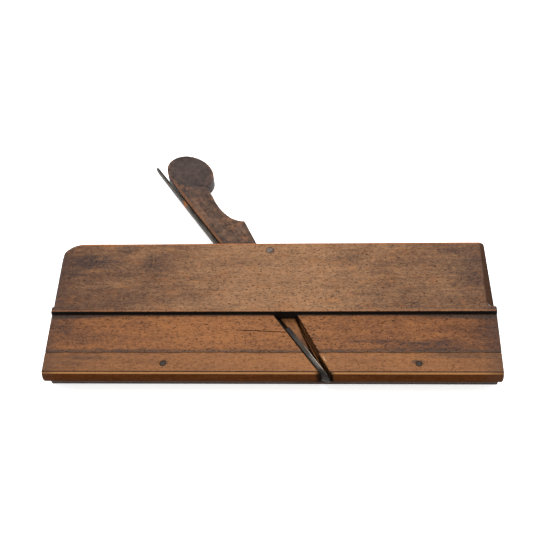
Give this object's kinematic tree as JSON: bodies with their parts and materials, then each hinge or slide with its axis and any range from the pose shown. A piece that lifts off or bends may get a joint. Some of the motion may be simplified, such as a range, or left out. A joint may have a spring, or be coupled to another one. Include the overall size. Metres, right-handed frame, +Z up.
{
  "type": "moulding plane",
  "caption": "Wooden moulding plane lying on its side, with a stepped stock, a profiled sole, a nailed-on sole strip, a tanged iron and a round-headed wedge that slides out",
  "frame": {"origin": "middle of the footprint of the plane as it lies on its blind side, on the surface it lies on", "axes": "+X runs along the stock from heel to toe, +Y from the sole to the top of the stock, +Z up out of the open side"},
  "size_m": [0.2414, 0.1566, 0.024],
  "materials": {
    "stock_wood": "old waxed beech, worn and grimy",
    "strip_wood": "old waxed boxwood, paler than the stock",
    "plug_wood": "end grain, dark",
    "wedge_wood": "dark handled beech with rubbed edges",
    "iron_steel": "forged iron and steel, grey-brown with a little rust",
    "nail_iron": "dark rusted iron"
  },
  "bodies": {
    "stock": {"stock": "stock_wood", "sole_strip_heel": "strip_wood", "sole_strip_toe": "strip_wood", "strip_nail_heel": "nail_iron", "strip_nail_toe": "nail_iron", "cheek_plug": "plug_wood"},
    "iron": {"iron": "iron_steel"},
    "wedge": {"wedge": "wedge_wood"}
  },
  "joints": [
    {"name": "iron_slide", "type": "slide", "parent": "stock", "child": "iron", "axis": [0.5736, -0.8192, 0], "range_m": [-0.004, 0.19]},
    {"name": "wedge_slide", "type": "slide", "parent": "stock", "child": "wedge", "axis": [-0.5736, 0.8192, 0], "range_m": [0, 0.1]}
  ]
}
